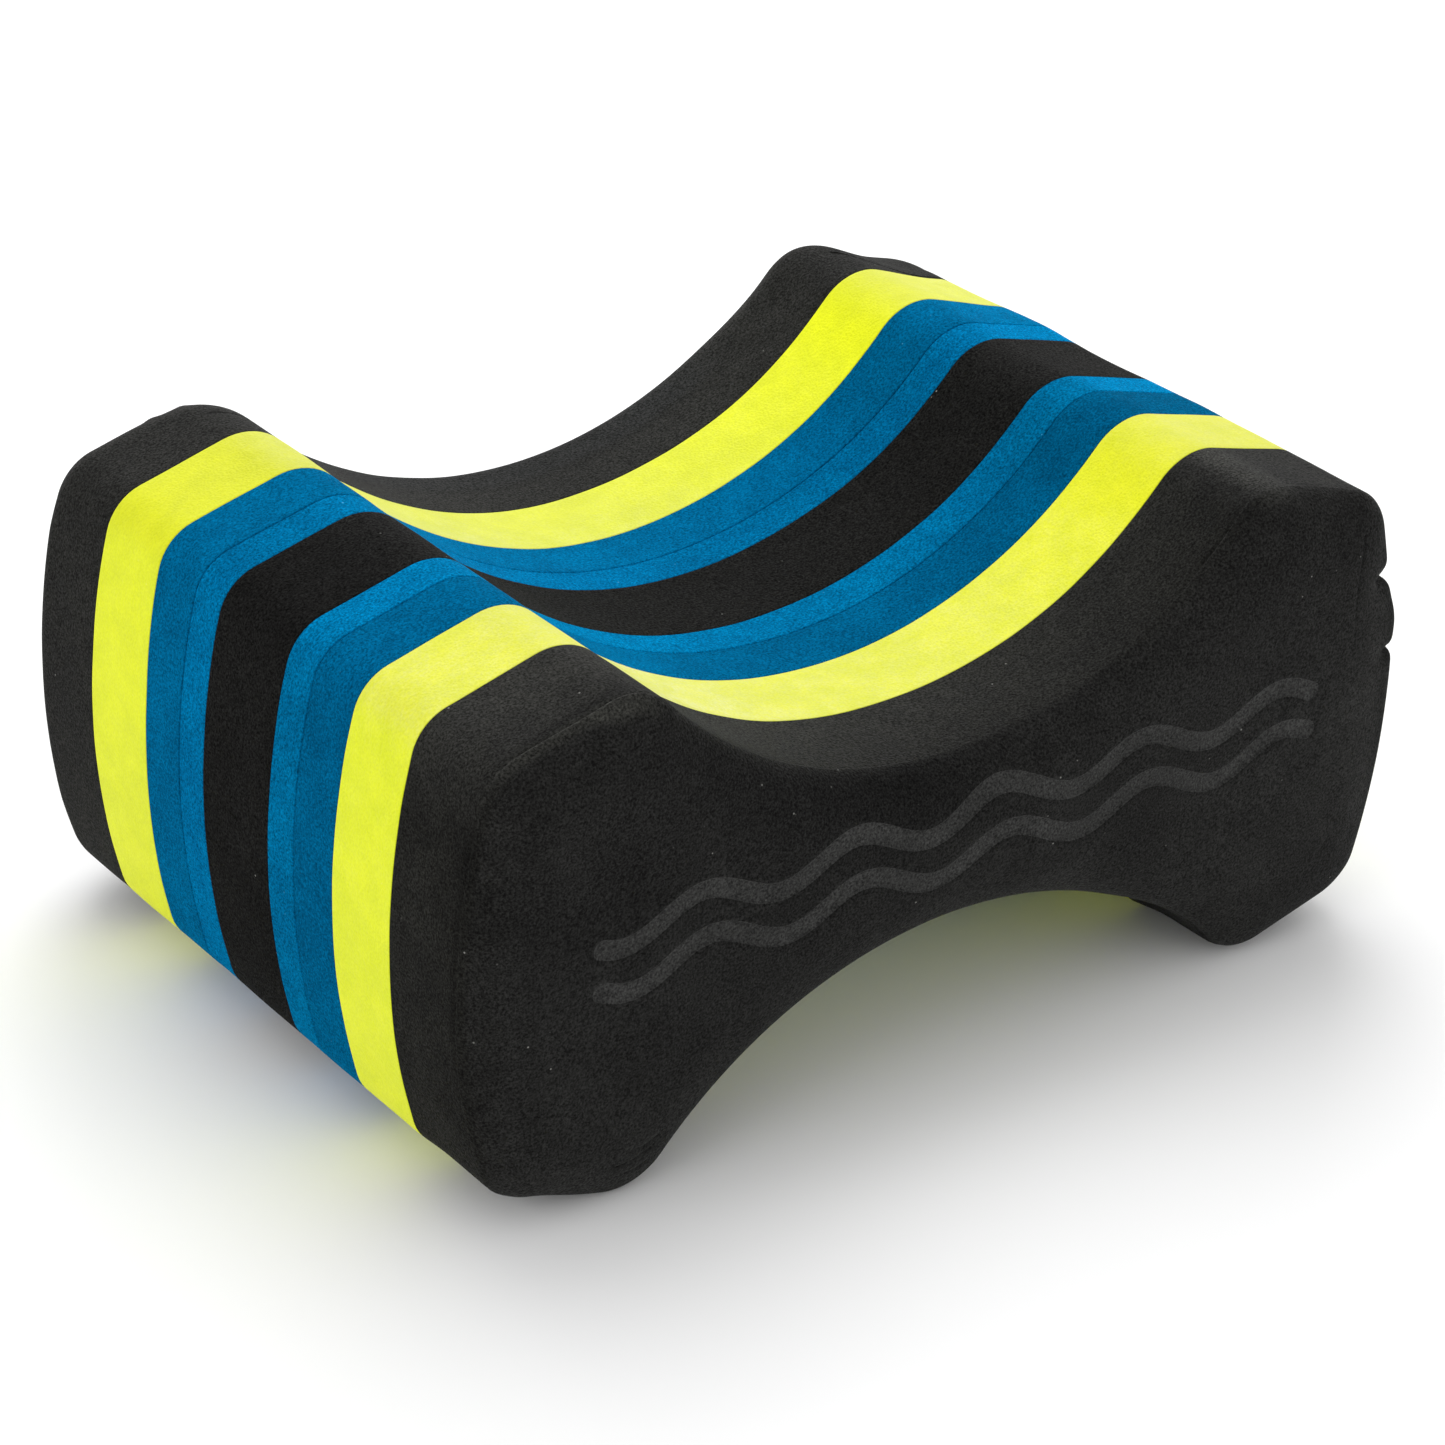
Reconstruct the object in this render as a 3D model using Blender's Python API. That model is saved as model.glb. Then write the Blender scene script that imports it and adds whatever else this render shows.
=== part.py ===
"""Pull buoy: the leg float a swimmer grips between the thighs.

Nine foam plates, cut to one hourglass outline, stand one behind the other along Y, with a film of
adhesive at each joint. X runs along the length of the buoy, Z is up, and Y runs through the stack
from the front slab (-Y) to the rear slab (+Y). The origin is under the middle of the block, on the
plane it rests on. Sizes are in metres.
"""

from math import atan2, cos, hypot, pi, radians, sin, sqrt

import bmesh
import bpy

# ---- outline in the XZ plane, measured from the middle of the block ----
HALF_LENGTH = 0.1150  # middle to the crown of each gently bowed end face
WAIST_HALF = 0.0180  # half the foam left between the upper and the lower thigh saddle
SADDLE_RADIUS = 0.0940
RIDGE_RADIUS = 0.0138  # rounding where a saddle meets a facet
FACET_FALL = radians(15.35)  # the four flat facets fall away towards the ends by this much
CORNER_X, CORNER_Z = 0.1080, 0.0456  # where a facet and an end face would meet if sharp
CORNER_RADIUS = 0.0111  # rounding of that corner

SADDLE_Z = WAIST_HALF + SADDLE_RADIUS  # centre of the upper saddle arc
END_BOW = HALF_LENGTH - CORNER_X
END_RADIUS = (END_BOW**2 + CORNER_Z**2) / (2 * END_BOW)
END_X = HALF_LENGTH - END_RADIUS  # centre of the end face's arc
FACET_NORMAL = pi / 2 - FACET_FALL  # angle from +X of the facet's outward normal

# Segments in each arc of a quarter outline
SADDLE_SEGS, RIDGE_SEGS, CORNER_SEGS, END_SEGS = 12, 5, 4, 3

# ---- soft rim round the free face of each outer slab ----
RIM_INSET = 0.0160  # how far the rim eats into the face
RIM_DEPTH = 0.0077  # how far it runs back along the side
RIM_STEPS = 6
RIM_RIDGE_RADIUS = 0.0080  # ridge rounding at the flat of the face
RIM_CORNER_RADIUS = 0.0070  # corner rounding there

# ---- glue joint between two plates ----
FILM = 0.0002  # thickness of the cured adhesive
CLEARANCE = 0.0003  # air left on each side of the film
FILM_INSET = 0.0008  # the film stops this far inside the outline
JOINT = FILM + 2 * CLEARANCE  # gap from foam to foam

# ---- materials: name, base colour (linear), roughness ----
BLACK = ("foam_black", (0.0150, 0.0150, 0.0145), 0.92)
YELLOW = ("foam_yellow", (0.7800, 0.8600, 0.0450), 0.85)
BLUE = ("foam_blue", (0.0040, 0.1250, 0.2850), 0.88)
LIGHT_BLUE = ("foam_light_blue", (0.0060, 0.1500, 0.3300), 0.88)
GLUE = ("glue_film", (0.0100, 0.0300, 0.0500), 0.55)
SPECULAR = 0.25  # weak highlights on every material

SMOOTH_ANGLE = radians(35)  # edges that turn more than this are shaded sharp

# ---- the stack, front to rear: name, thickness between joint centres, material ----
# An outer slab is measured from its free face.
STACK = (
    ("front_black_slab", 0.0300, BLACK),
    ("front_yellow_plate", 0.0197, YELLOW),
    ("front_blue_plate", 0.0139, BLUE),
    ("front_thin_blue_plate", 0.0093, LIGHT_BLUE),
    ("centre_black_plate", 0.0239, BLACK),
    ("rear_thin_blue_plate", 0.0093, LIGHT_BLUE),
    ("rear_blue_plate", 0.0140, BLUE),
    ("rear_yellow_plate", 0.0202, YELLOW),
    ("rear_black_slab", 0.0276, BLACK),
)


def arc(centre_x, centre_z, radius, start, end, segments):
    """Points (x, z) along an arc, both ends included."""
    angles = [start + (end - start) * i / segments for i in range(segments + 1)]
    return [(centre_x + radius * cos(a), centre_z + radius * sin(a)) for a in angles]


def rounding_centre(depth, circle_x, circle_z, distance):
    """The outer of the two points `depth` below the facet and `distance` from a circle's centre."""
    along_x, along_z = cos(FACET_FALL), -sin(FACET_FALL)  # along the facet, outwards
    line_x = CORNER_X - depth * cos(FACET_NORMAL)
    line_z = CORNER_Z - depth * sin(FACET_NORMAL)
    offset_x, offset_z = line_x - circle_x, line_z - circle_z
    projection = offset_x * along_x + offset_z * along_z
    travel = sqrt(projection**2 - (offset_x**2 + offset_z**2 - distance**2)) - projection
    return line_x + travel * along_x, line_z + travel * along_z


def quarter(inset, ridge_radius, corner_radius):
    """The outline from the waist (0, +z) round to the crown of the end face (+x, 0)."""
    saddle_radius = SADDLE_RADIUS + inset
    end_radius = END_RADIUS - inset

    # The ridge rounding touches the saddle circle from outside and the facet from inside
    ridge_x, ridge_z = rounding_centre(
        inset + ridge_radius, 0.0, SADDLE_Z, saddle_radius + ridge_radius
    )
    saddle_end = atan2(ridge_z - SADDLE_Z, ridge_x)

    # The corner rounding touches the facet and the end face from inside
    corner_x, corner_z = rounding_centre(
        inset + corner_radius, END_X, 0.0, end_radius - corner_radius
    )
    end_start = atan2(corner_z, corner_x - END_X)

    # The flat facet is the gap between the ridge and corner arcs
    saddle = arc(0.0, SADDLE_Z, saddle_radius, -pi / 2, saddle_end, SADDLE_SEGS)
    ridge = arc(ridge_x, ridge_z, ridge_radius, saddle_end + pi, FACET_NORMAL, RIDGE_SEGS)
    corner = arc(corner_x, corner_z, corner_radius, FACET_NORMAL, end_start, CORNER_SEGS)
    end_face = arc(END_X, 0.0, end_radius, end_start, 0.0, END_SEGS)
    return saddle + ridge[1:] + corner + end_face[1:]


def outline(inset=0.0, ridge_radius=RIDGE_RADIUS, corner_radius=CORNER_RADIUS):
    """The whole closed outline, mirrored from one quarter and set in by `inset`."""
    upper = quarter(inset, ridge_radius, corner_radius)
    right = upper + [(x, -z) for x, z in reversed(upper[:-1])]
    return right + [(-x, z) for x, z in reversed(right[1:-1])]


def rim_ring(step):
    """(depth from the free face, outline) of one ring of the elliptical rim; 0 is the flat."""
    angle = (pi / 2) * step / RIM_STEPS
    share = 1 - sin(angle)  # 1 at the flat of the face, 0 at the full outline
    return RIM_DEPTH * (1 - cos(angle)), outline(
        RIM_INSET * share,
        RIDGE_RADIUS + (RIM_RIDGE_RADIUS - RIDGE_RADIUS) * share,
        CORNER_RADIUS + (RIM_CORNER_RADIUS - CORNER_RADIUS) * share,
    )


FULL = outline()
FILM_OUTLINE = outline(FILM_INSET, RIDGE_RADIUS - FILM_INSET, CORNER_RADIUS - FILM_INSET)
RIM = [rim_ring(step) for step in range(RIM_STEPS + 1)]
RIDGE_HEIGHT = max(z for _, z in FULL)  # lifts the block to rest on Z = 0


def material_for(spec):
    """The material of a spec, made on first use."""
    name, colour, roughness = spec
    material = bpy.data.materials.get(name)
    if material:
        return material
    material = bpy.data.materials.new(name)
    material.use_nodes = True
    inputs = material.node_tree.nodes["Principled BSDF"].inputs
    inputs["Base Color"].default_value = (*colour, 1.0)
    inputs["Roughness"].default_value = roughness
    inputs["Metallic"].default_value = 0.0
    inputs["Specular IOR Level"].default_value = SPECULAR
    material.diffuse_color = (*colour, 1.0)
    return material


def extrude_ring(bm, ring):
    """Extrude a closed ring of vertices in place; returns the new ring in the same order."""
    edges = [bm.edges.get((ring[i - 1], ring[i])) for i in range(len(ring))]
    made = bmesh.ops.extrude_edge_only(bm, edges=edges)["geom"]
    # Each new vertex still lies on its source, so position pairs them
    new_at = {}
    for item in made:
        if isinstance(item, bmesh.types.BMEdge):
            for vert in item.verts:
                new_at[tuple(vert.co)] = vert
    return [new_at[tuple(vert.co)] for vert in ring]


def add_loft(name, rings, spec, parent):
    """Add a closed solid through rings of (y, outline), with both ends filled."""
    bm = bmesh.new()
    y, points = rings[0]
    ring = [bm.verts.new((x, y, z + RIDGE_HEIGHT)) for x, z in points]
    bm.faces.new(ring)
    for y, points in rings[1:]:
        ring = extrude_ring(bm, ring)
        for vert, (x, z) in zip(ring, points):
            vert.co = (x, y, z + RIDGE_HEIGHT)
    bm.faces.new(ring)
    bmesh.ops.recalc_face_normals(bm, faces=bm.faces)

    mesh = bpy.data.meshes.new(name)
    bm.to_mesh(mesh)
    bm.free()
    mesh.shade_smooth()
    mesh.set_sharp_from_angle(angle=SMOOTH_ANGLE)
    mesh.materials.append(material_for(spec))
    obj = bpy.data.objects.new(name, mesh)
    bpy.context.scene.collection.objects.link(obj)
    obj.parent = parent


def plate_rings(front, rear, is_first, is_last):
    """Rings of one plate: a rim at a free face, a plain edge half a joint back elsewhere."""
    if is_first:
        rings = [(front + depth, points) for depth, points in RIM]
    else:
        rings = [(front + JOINT / 2, FULL)]
    if is_last:
        rings += [(rear - depth, points) for depth, points in reversed(RIM)]
    else:
        rings.append((rear - JOINT / 2, FULL))
    return rings


def build():
    for obj in list(bpy.data.objects):
        bpy.data.objects.remove(obj, do_unlink=True)

    buoy = bpy.data.objects.new("pull_buoy", None)
    bpy.context.scene.collection.objects.link(buoy)

    front = -sum(thickness for _, thickness, _ in STACK) / 2
    for number, (name, thickness, spec) in enumerate(STACK, start=1):
        rear = front + thickness
        is_last = number == len(STACK)
        add_loft(name, plate_rings(front, rear, number == 1, is_last), spec, buoy)
        if not is_last:
            film = [(rear - FILM / 2, FILM_OUTLINE), (rear + FILM / 2, FILM_OUTLINE)]
            add_loft(f"glue_film_{number}", film, GLUE, buoy)
        front = rear


build()
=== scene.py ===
"""Looks of a pull buoy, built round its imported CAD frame: nine foam plates and eight glue films.

Each is its own closed mesh, in metres. X runs along the buoy, Z up and Y through the stack, from
the front slab (-Y) to the rear slab (+Y). Seen from the front, +X is on the right. The outline in
XZ has a waist at X = 0: a saddle, then a ridge, a sloping facet, a corner and a bowed end face.
"""

from math import atan2, cos, hypot, pi, radians, sin, sqrt

import bpy
import numpy as np
from mathutils import Matrix, Vector
from mathutils.geometry import delaunay_2d_cdt
from mathutils.kdtree import KDTree


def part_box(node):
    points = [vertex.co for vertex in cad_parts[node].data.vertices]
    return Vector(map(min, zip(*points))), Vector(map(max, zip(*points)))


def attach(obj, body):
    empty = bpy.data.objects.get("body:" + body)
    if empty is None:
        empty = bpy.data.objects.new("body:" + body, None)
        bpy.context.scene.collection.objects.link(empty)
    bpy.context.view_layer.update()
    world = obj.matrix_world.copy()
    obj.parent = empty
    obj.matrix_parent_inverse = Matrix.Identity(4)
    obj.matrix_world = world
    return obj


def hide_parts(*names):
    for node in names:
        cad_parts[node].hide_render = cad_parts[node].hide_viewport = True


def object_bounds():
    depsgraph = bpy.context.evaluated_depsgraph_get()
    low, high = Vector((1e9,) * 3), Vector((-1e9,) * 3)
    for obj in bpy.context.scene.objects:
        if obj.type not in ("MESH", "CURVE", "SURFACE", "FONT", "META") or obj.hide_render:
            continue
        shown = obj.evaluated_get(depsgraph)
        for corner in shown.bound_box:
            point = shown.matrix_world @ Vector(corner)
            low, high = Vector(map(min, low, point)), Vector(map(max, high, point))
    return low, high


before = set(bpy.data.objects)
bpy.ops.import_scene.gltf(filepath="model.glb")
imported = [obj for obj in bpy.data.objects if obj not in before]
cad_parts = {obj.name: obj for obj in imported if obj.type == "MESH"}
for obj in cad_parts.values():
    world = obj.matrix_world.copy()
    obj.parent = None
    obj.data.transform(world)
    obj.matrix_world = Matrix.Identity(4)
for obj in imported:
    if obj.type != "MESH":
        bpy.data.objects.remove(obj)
cad_low, cad_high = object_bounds()
MM = 0.001

# ---------------------------------------------------------------- sizes
FRONT, REAR = cad_low[1], cad_high[1]
MIDDLE = (cad_low[2] + cad_high[2]) / 2
HALF_LENGTH = cad_high[0]
WAIST_HALF = 0.0180
SADDLE_R = 0.0940
RIDGE_R = 0.0138
FACET_FALL = radians(15.35)
CORNER_X, CORNER_Z = 0.1080, 0.0456  # where facet and end face would meet without rounding
CORNER_R = 0.0111
RIM_INSET, RIM_DEPTH = 0.0160, 0.0077  # the rounded rim of a free face
RIM_RIDGE_R, RIM_CORNER_R = 0.0080, 0.0070  # outline radii where the rim ends
FRONT_RIM_POWER, REAR_RIM_POWER = 2.0, 2.4  # 2 is an ellipse; more starts more gently
SPINE_HALF = 0.080  # hidden caps shrink onto a line this long each way

FILMS = tuple(f"glue_film_{i}" for i in range(1, 9))
SEAMS = [sum(corner[1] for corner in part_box(film)) / 2 for film in FILMS]
BLUE_JOINTS = (2, 5)  # the two seams between blue and blue, which show as a fine dark line
# half the gap at a joint, and how far the foam edges are eased
PLAIN_JOINT = (0.035 * MM, 0.14 * MM)
BLUE_JOINT = (0.10 * MM, 0.30 * MM)

# segments along a quarter outline: saddle, ridge, facet, corner, end face
PLATE_SEGS = (34, 10, 12, 8, 22)
FRONT_SLAB_SEGS = (80, 18, 36, 14, 96)
REAR_SLAB_SEGS = (50, 20, 64, 14, 34)

# shares of the way along or round, one per ring
EASE_TURNS = (0.0, 0.35, 0.7, 1.0)
PLATE_SHARES = (0.03, 0.09, 0.2, 0.35, 0.5, 0.65, 0.8, 0.91, 0.97)
SLAB_SHARES = (0.03, 0.10, 0.22, 0.36, 0.52, 0.68, 0.84, 1.0)
CAP_SHARES = (0.02, 0.05, 0.09, 0.14, 0.20, 0.28, 0.38, 0.52, 0.72)


# ---------------------------------------------------------------- outline
FACET_X, FACET_Z = cos(FACET_FALL), -sin(FACET_FALL)  # outward along the upper right facet
INWARD_X, INWARD_Z = -sin(FACET_FALL), -cos(FACET_FALL)  # square to it, into the foam


def arc(centre_x, centre_z, radius, first, last, segs):
    angles = [first + (last - first) * i / segs for i in range(segs + 1)]
    return [(centre_x + radius * cos(angle), centre_z + radius * sin(angle)) for angle in angles]


def fillet_centre(inset, radius, centre_x, centre_z, distance):
    """Centre of a rounding that touches the inset facet, at a distance from another centre.

    Of the two such places it gives the one farther out.
    """
    start_x = CORNER_X + INWARD_X * (inset + radius)
    start_z = CORNER_Z + INWARD_Z * (inset + radius)
    dx, dz = start_x - centre_x, start_z - centre_z
    along = dx * FACET_X + dz * FACET_Z
    travel = -along + sqrt(along * along - (dx * dx + dz * dz - distance * distance))
    return start_x + travel * FACET_X, start_z + travel * FACET_Z


def quarter(inset, segs):
    """From the waist (0, +) round to the crown of the end face (+, 0), set in by inset."""
    saddle_segs, ridge_segs, facet_segs, corner_segs, end_segs = segs
    share = min(1.0, inset / RIM_INSET)
    ridge_r = RIDGE_R + (RIM_RIDGE_R - RIDGE_R) * share
    corner_r = CORNER_R + (RIM_CORNER_R - CORNER_R) * share
    facet_angle = atan2(-INWARD_Z, -INWARD_X)
    saddle_z, saddle_r = WAIST_HALF + SADDLE_R, SADDLE_R + inset
    bow = HALF_LENGTH - CORNER_X
    end_r = (bow**2 + CORNER_Z**2) / (2 * bow)
    end_x, end_r = HALF_LENGTH - end_r, end_r - inset

    x, z = fillet_centre(inset, ridge_r, 0.0, saddle_z, saddle_r + ridge_r)
    points = arc(0.0, saddle_z, saddle_r, -pi / 2, atan2(z - saddle_z, x), saddle_segs)
    points += arc(x, z, ridge_r, atan2(saddle_z - z, -x), facet_angle, ridge_segs)[1:]

    x, z = fillet_centre(inset, corner_r, end_x, 0.0, end_r - corner_r)
    away = hypot(x - end_x, z)
    end_angle = atan2(z / away, (x - end_x) / away)
    corner = arc(x, z, corner_r, facet_angle, end_angle, corner_segs)
    (x0, z0), (x1, z1) = points[-1], corner[0]
    points += [
        (x0 + (x1 - x0) * i / facet_segs, z0 + (z1 - z0) * i / facet_segs)
        for i in range(1, facet_segs)
    ]
    points += corner
    points += arc(end_x, 0.0, end_r, end_angle, 0.0, end_segs)[1:]
    return points


def outline(inset, segs):
    """(N, 2) closed outline: waist top, right end, waist bottom, left end."""
    upper = quarter(inset, segs)
    right = upper + [(x, -z) for x, z in reversed(upper[:-1])]
    return np.array(right + [(-x, z) for x, z in reversed(right[1:-1])])


def outward(points):
    """Unit normals in XZ, pointing out of the foam."""
    tangent = np.roll(points, -1, 0) - np.roll(points, 1, 0)
    normal = np.stack([-tangent[:, 1], tangent[:, 0]], 1)
    return normal / np.linalg.norm(normal, axis=1, keepdims=True)


# ---------------------------------------------------------------- hand-made unevenness
def waves(seed, count, shortest, longest):
    """A smooth field over (x, y, z) in metres with an RMS of 1, as a sum of plane waves."""
    rng = np.random.default_rng(seed)
    vectors = rng.normal(size=(count, 3))
    lengths = rng.uniform(shortest, longest, count)
    vectors *= (2 * pi / lengths / np.linalg.norm(vectors, axis=1))[:, None]
    phase = rng.uniform(0, 2 * pi, count)

    def field(points):
        return np.sin(points @ vectors.T + phase).sum(1) * sqrt(2 / count)

    return field


# the block's own slow unevenness, shared by all plates
swell = waves(seed=11, count=9, shortest=0.045, longest=0.140)
# finer drag marks of the saw
ripple = waves(seed=23, count=14, shortest=0.009, longest=0.026)
# how the sheets' thickness drifts
seam_drift = waves(seed=37, count=7, shortest=0.050, longest=0.160)
# gentle dishing of the free faces
face_swell = waves(seed=51, count=10, shortest=0.022, longest=0.075)
SWELL, RIPPLE, SEAM_DRIFT, FACE_SWELL = 0.13 * MM, 0.025 * MM, 0.16 * MM, 0.16 * MM
PLATE_BOW = 0.035 * MM  # step between the plates' own slight bulges or hollows
CREASE_WANDER = 0.20 * MM


def bump(offset, width):
    return np.exp(-((offset / width) ** 2))


def step(share):
    """Smooth rise from 0 to 1 while share goes from 0 to 1."""
    share = np.clip(share, 0, 1)
    return share * share * (3 - 2 * share)


def seam_y(joint, x, z):
    """Where a glue joint runs, at each point of the outline plane."""
    points = np.stack([x, np.full_like(x, 0.3 + 0.09 * joint), z], 1)
    y = SEAMS[joint] + SEAM_DRIFT * seam_drift(points)
    if joint == 6:  # the rear yellow sheet is thicker round the middle of the left end
        y = y - 1.5 * MM * bump(z - 0.004, 0.030) / (1 + np.exp((x + 0.100) / 0.004))
    return y


def relief(base, y):
    """How far the cut side stands proud of the true outline at (x, y, z)."""
    x, z = base[:, 0], base[:, 1]
    y = np.broadcast_to(np.asarray(y, float), (len(base),))
    points = np.stack([x, y, z], 1)
    # the right-hand facets sink a little round the middle of the stack, and again to the rear
    high = step((np.abs(z) - 0.032) / 0.010)
    sunk = high * 0.85 * step((x - 0.062) / 0.022) * bump(y - 0.005, 0.017)
    sunk = sunk + high * 1.25 * step((x - 0.080) / 0.020) * step((y - 0.018) / 0.034)
    # the front slab's foot is shaved a little on the right-hand ridge and left-hand corner
    foot = step((-0.012 - z) / 0.020) * step((-0.050 - y) / 0.014)
    shaved = foot * (1.8 * bump(x - 0.064, 0.014) + 1.2 * bump(x + 0.101, 0.009))
    return SWELL * swell(points) + RIPPLE * ripple(points) - MM * (sunk + shaved)


# ---------------------------------------------------------------- mesh building
class Shell:
    """A mesh put together from closed rings of points."""

    def __init__(self):
        self.points, self.faces, self.slots, self.rim, self.count = [], [], [], [], 0
        self.marks = None

    def ring(self, points, rim=0.0):
        """Adds points and gives back their indices. rim is how far past the crease, in mm."""
        points = np.asarray(points, float)
        self.points.append(points)
        self.rim.append(np.broadcast_to(np.asarray(rim, float), (len(points),)))
        indices = np.arange(self.count, self.count + len(points))
        self.count += len(points)
        return indices

    def add(self, faces, slot=0):
        self.faces += [tuple(int(i) for i in face) for face in faces]
        self.slots += [slot] * len(faces)

    def bridge(self, near, far):
        """Quads between two closed rings; near is nearer the front."""
        self.add(np.stack([near, np.roll(near, -1), np.roll(far, -1), far], 1))

    def bridge_all(self, rings, rearward=True):
        """Joins neighbouring rings, listed from front to rear if rearward."""
        for ring, following in zip(rings, rings[1:]):
            if rearward:
                self.bridge(ring, following)
            else:
                self.bridge(following, ring)

    def cap(self, ring, joint, offset, front):
        """Closes a ring along a glue joint with rings that shrink onto a line along X.

        front says whether the cap faces the front.
        """
        base = np.concatenate(self.points)[ring][:, [0, 2]]
        count = len(ring)
        half = count // 2
        # from the left crown over the top to the right crown, and its mirror below
        top = [(i - count // 4) % count for i in range(half + 1)]
        below = [(half - i) % count for i in top]
        lengths = np.linalg.norm(np.diff(base[top], axis=0), axis=1)
        along = np.concatenate([[0], np.cumsum(lengths)])
        seat = np.zeros(count)
        seat[top] = seat[below] = along / along[-1]
        spine = np.stack([(seat * 2 - 1) * SPINE_HALF, np.full(count, MIDDLE)], 1)

        def lay(flat):
            x, z = flat[:, 0], flat[:, 1]
            return self.ring(np.stack([x, seam_y(joint, x, z - MIDDLE) + offset, z], 1))

        rings = [ring] + [lay(base * (1 - share) + spine * share) for share in CAP_SHARES]
        # on the spine, top and bottom share their points
        shared = np.zeros(count, int)
        shared[top] = shared[below] = lay(spine[top])
        self.bridge_all(rings + [shared], rearward=not front)

    def object(self, name, materials):
        mesh = bpy.data.meshes.new(name)
        points = np.concatenate(self.points)
        if self.marks:
            points = self.marks(points)
        mesh.from_pydata(points.tolist(), [], self.faces)
        mesh.polygons.foreach_set("material_index", self.slots)
        mesh.polygons.foreach_set("use_smooth", [True] * len(self.faces))
        held = mesh.attributes.new("rim", "FLOAT", "POINT")
        held.data.foreach_set("value", np.concatenate(self.rim).astype(np.float32))
        for material in materials:
            mesh.materials.append(material)
        mesh.validate()
        mesh.update()
        obj = bpy.data.objects.new(name, mesh)
        bpy.context.scene.collection.objects.link(obj)
        return obj


def side_ring(base, normal, y, out):
    """A ring of the cut side: outline pushed out along its normal by out, in metres."""
    y = np.broadcast_to(np.asarray(y, float), (len(base),))
    moved = base + normal * np.broadcast_to(np.asarray(out, float), (len(base),))[:, None]
    return np.stack([moved[:, 0], y, moved[:, 1] + MIDDLE], 1)


def joint_sizes(joint):
    """Half gap and edge easing at a joint."""
    return BLUE_JOINT if joint in BLUE_JOINTS else PLAIN_JOINT


def eased_edge(edge, ease, into):
    """(y, cut) of the rings that round an edge; into is +1 or -1, the way along Y into the foam."""
    turns = [share * pi / 2 for share in EASE_TURNS]
    return [(edge + into * ease * (1 - cos(turn)), ease * (1 - sin(turn))) for turn in turns]


# ---------------------------------------------------------------- inner plates and glue films
def plate(index):
    """A plate between two glue joints: two hidden caps and the cut side, edges barely eased."""
    base = outline(0.0, PLATE_SEGS)
    normal = outward(base)
    x, z = base[:, 0], base[:, 1]
    shell = Shell()
    near_joint, far_joint = index - 1, index
    near_gap, near_ease = joint_sizes(near_joint)
    far_gap, far_ease = joint_sizes(far_joint)
    near = seam_y(near_joint, x, z) + near_gap
    far = seam_y(far_joint, x, z) - far_gap
    length = far - near - (near_ease + far_ease)
    bow = PLATE_BOW * ((index * 37) % 5 - 2)

    def lay(share, y, cut):
        out = relief(base, y) + bow * sin(pi * share) - cut
        return shell.ring(side_ring(base, normal, y, out))

    rings = [lay(0.0, y, cut) for y, cut in eased_edge(near, near_ease, 1)]
    rings += [lay(share, near + near_ease + length * share, 0.0) for share in PLATE_SHARES]
    rings += [lay(1.0, y, cut) for y, cut in reversed(eased_edge(far, far_ease, -1))]
    shell.bridge_all(rings)
    shell.cap(rings[0], near_joint, near_gap, front=True)
    shell.cap(rings[-1], far_joint, -far_gap, front=False)
    return shell


# half thickness of a glue film and how far it ends inside the cut side
PLAIN_FILM = (0.012 * MM, 0.2 * MM)
BLUE_FILM = (0.05 * MM, 0.42 * MM)
# a film's rings: share of the half thickness, and cut in mm
FILM_RINGS = ((-1, 0.02), (-0.5, 0.0), (0.5, 0.0), (1, 0.02))


def film(joint):
    """The glue line: a thin sheet that ends just inside the cut side."""
    half_thick, inset = BLUE_FILM if joint in BLUE_JOINTS else PLAIN_FILM
    base = outline(inset, PLATE_SEGS)
    normal = outward(base)
    shell = Shell()
    seam = seam_y(joint, base[:, 0], base[:, 1])
    rings = [
        shell.ring(side_ring(base, normal, seam + share * half_thick, relief(base, seam) - cut * MM))
        for share, cut in FILM_RINGS
    ]
    shell.bridge_all(rings)
    shell.cap(rings[0], joint, -half_thick, front=True)
    shell.cap(rings[-1], joint, half_thick, front=False)
    return shell


# ---------------------------------------------------------------- knocks in the outer slabs
DENT_X, DENT_Y = 0.1135, -0.0790  # middle of the dented part of the rim
DENT_OUT_X, DENT_OUT_Y = 0.794, -0.608  # out of the rim there
# height above the middle, half width, depth in mm; the last is a low swelling between the two
DENTS = ((0.0267, 0.0017, 4.4), (0.0092, 0.0013, 2.1), (0.0165, 0.0052, -0.75))
CRUMB_SIZE = (0.0016, 0.0024, 0.0022)
# place of a crumb, and its height in mm
CRUMBS = (((-0.0800, 0.0790, 0.1040), 0.55), ((-0.0870, 0.0790, 0.1022), 0.45))


def front_marks(points):
    """The right end of the front slab is a little full, and two short dents cross its rim."""
    x, y, z = points[:, 0], points[:, 1], points[:, 2] - MIDDLE
    near_end = step((x - 0.094) / 0.018) * step((-0.056 - y) / 0.016)
    full = 1.35 * MM * step((0.028 - z) / 0.026) * step((z + 0.049) / 0.010)
    # a dent is long in the XY direction square to DENT_OUT, and narrow up and down
    along = -(x - DENT_X) * DENT_OUT_Y + (y - DENT_Y) * DENT_OUT_X
    across = (x - DENT_X) * DENT_OUT_X + (y - DENT_Y) * DENT_OUT_Y
    rim = bump(along, 0.0085) * step((across + 0.0075) / 0.0065)
    dents = sum(depth * MM * bump(z - height, width) for height, width, depth in DENTS)
    moved = points.copy()
    moved[:, 0] += full * near_end
    return moved - np.array([DENT_OUT_X, DENT_OUT_Y, 0.0]) * (dents * rim)[:, None]


def rear_marks(points):
    """Two torn crumbs stand on the rear slab's left ridge."""
    moved = points.copy()
    for place, high in CRUMBS:
        near = np.exp(-(((points - np.array(place)) / CRUMB_SIZE) ** 2).sum(1))
        moved[:, 2] += high * MM * near
    return moved


# ---------------------------------------------------------------- rims of the two outer slabs
def rim_power(front):
    return FRONT_RIM_POWER if front else REAR_RIM_POWER


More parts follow.
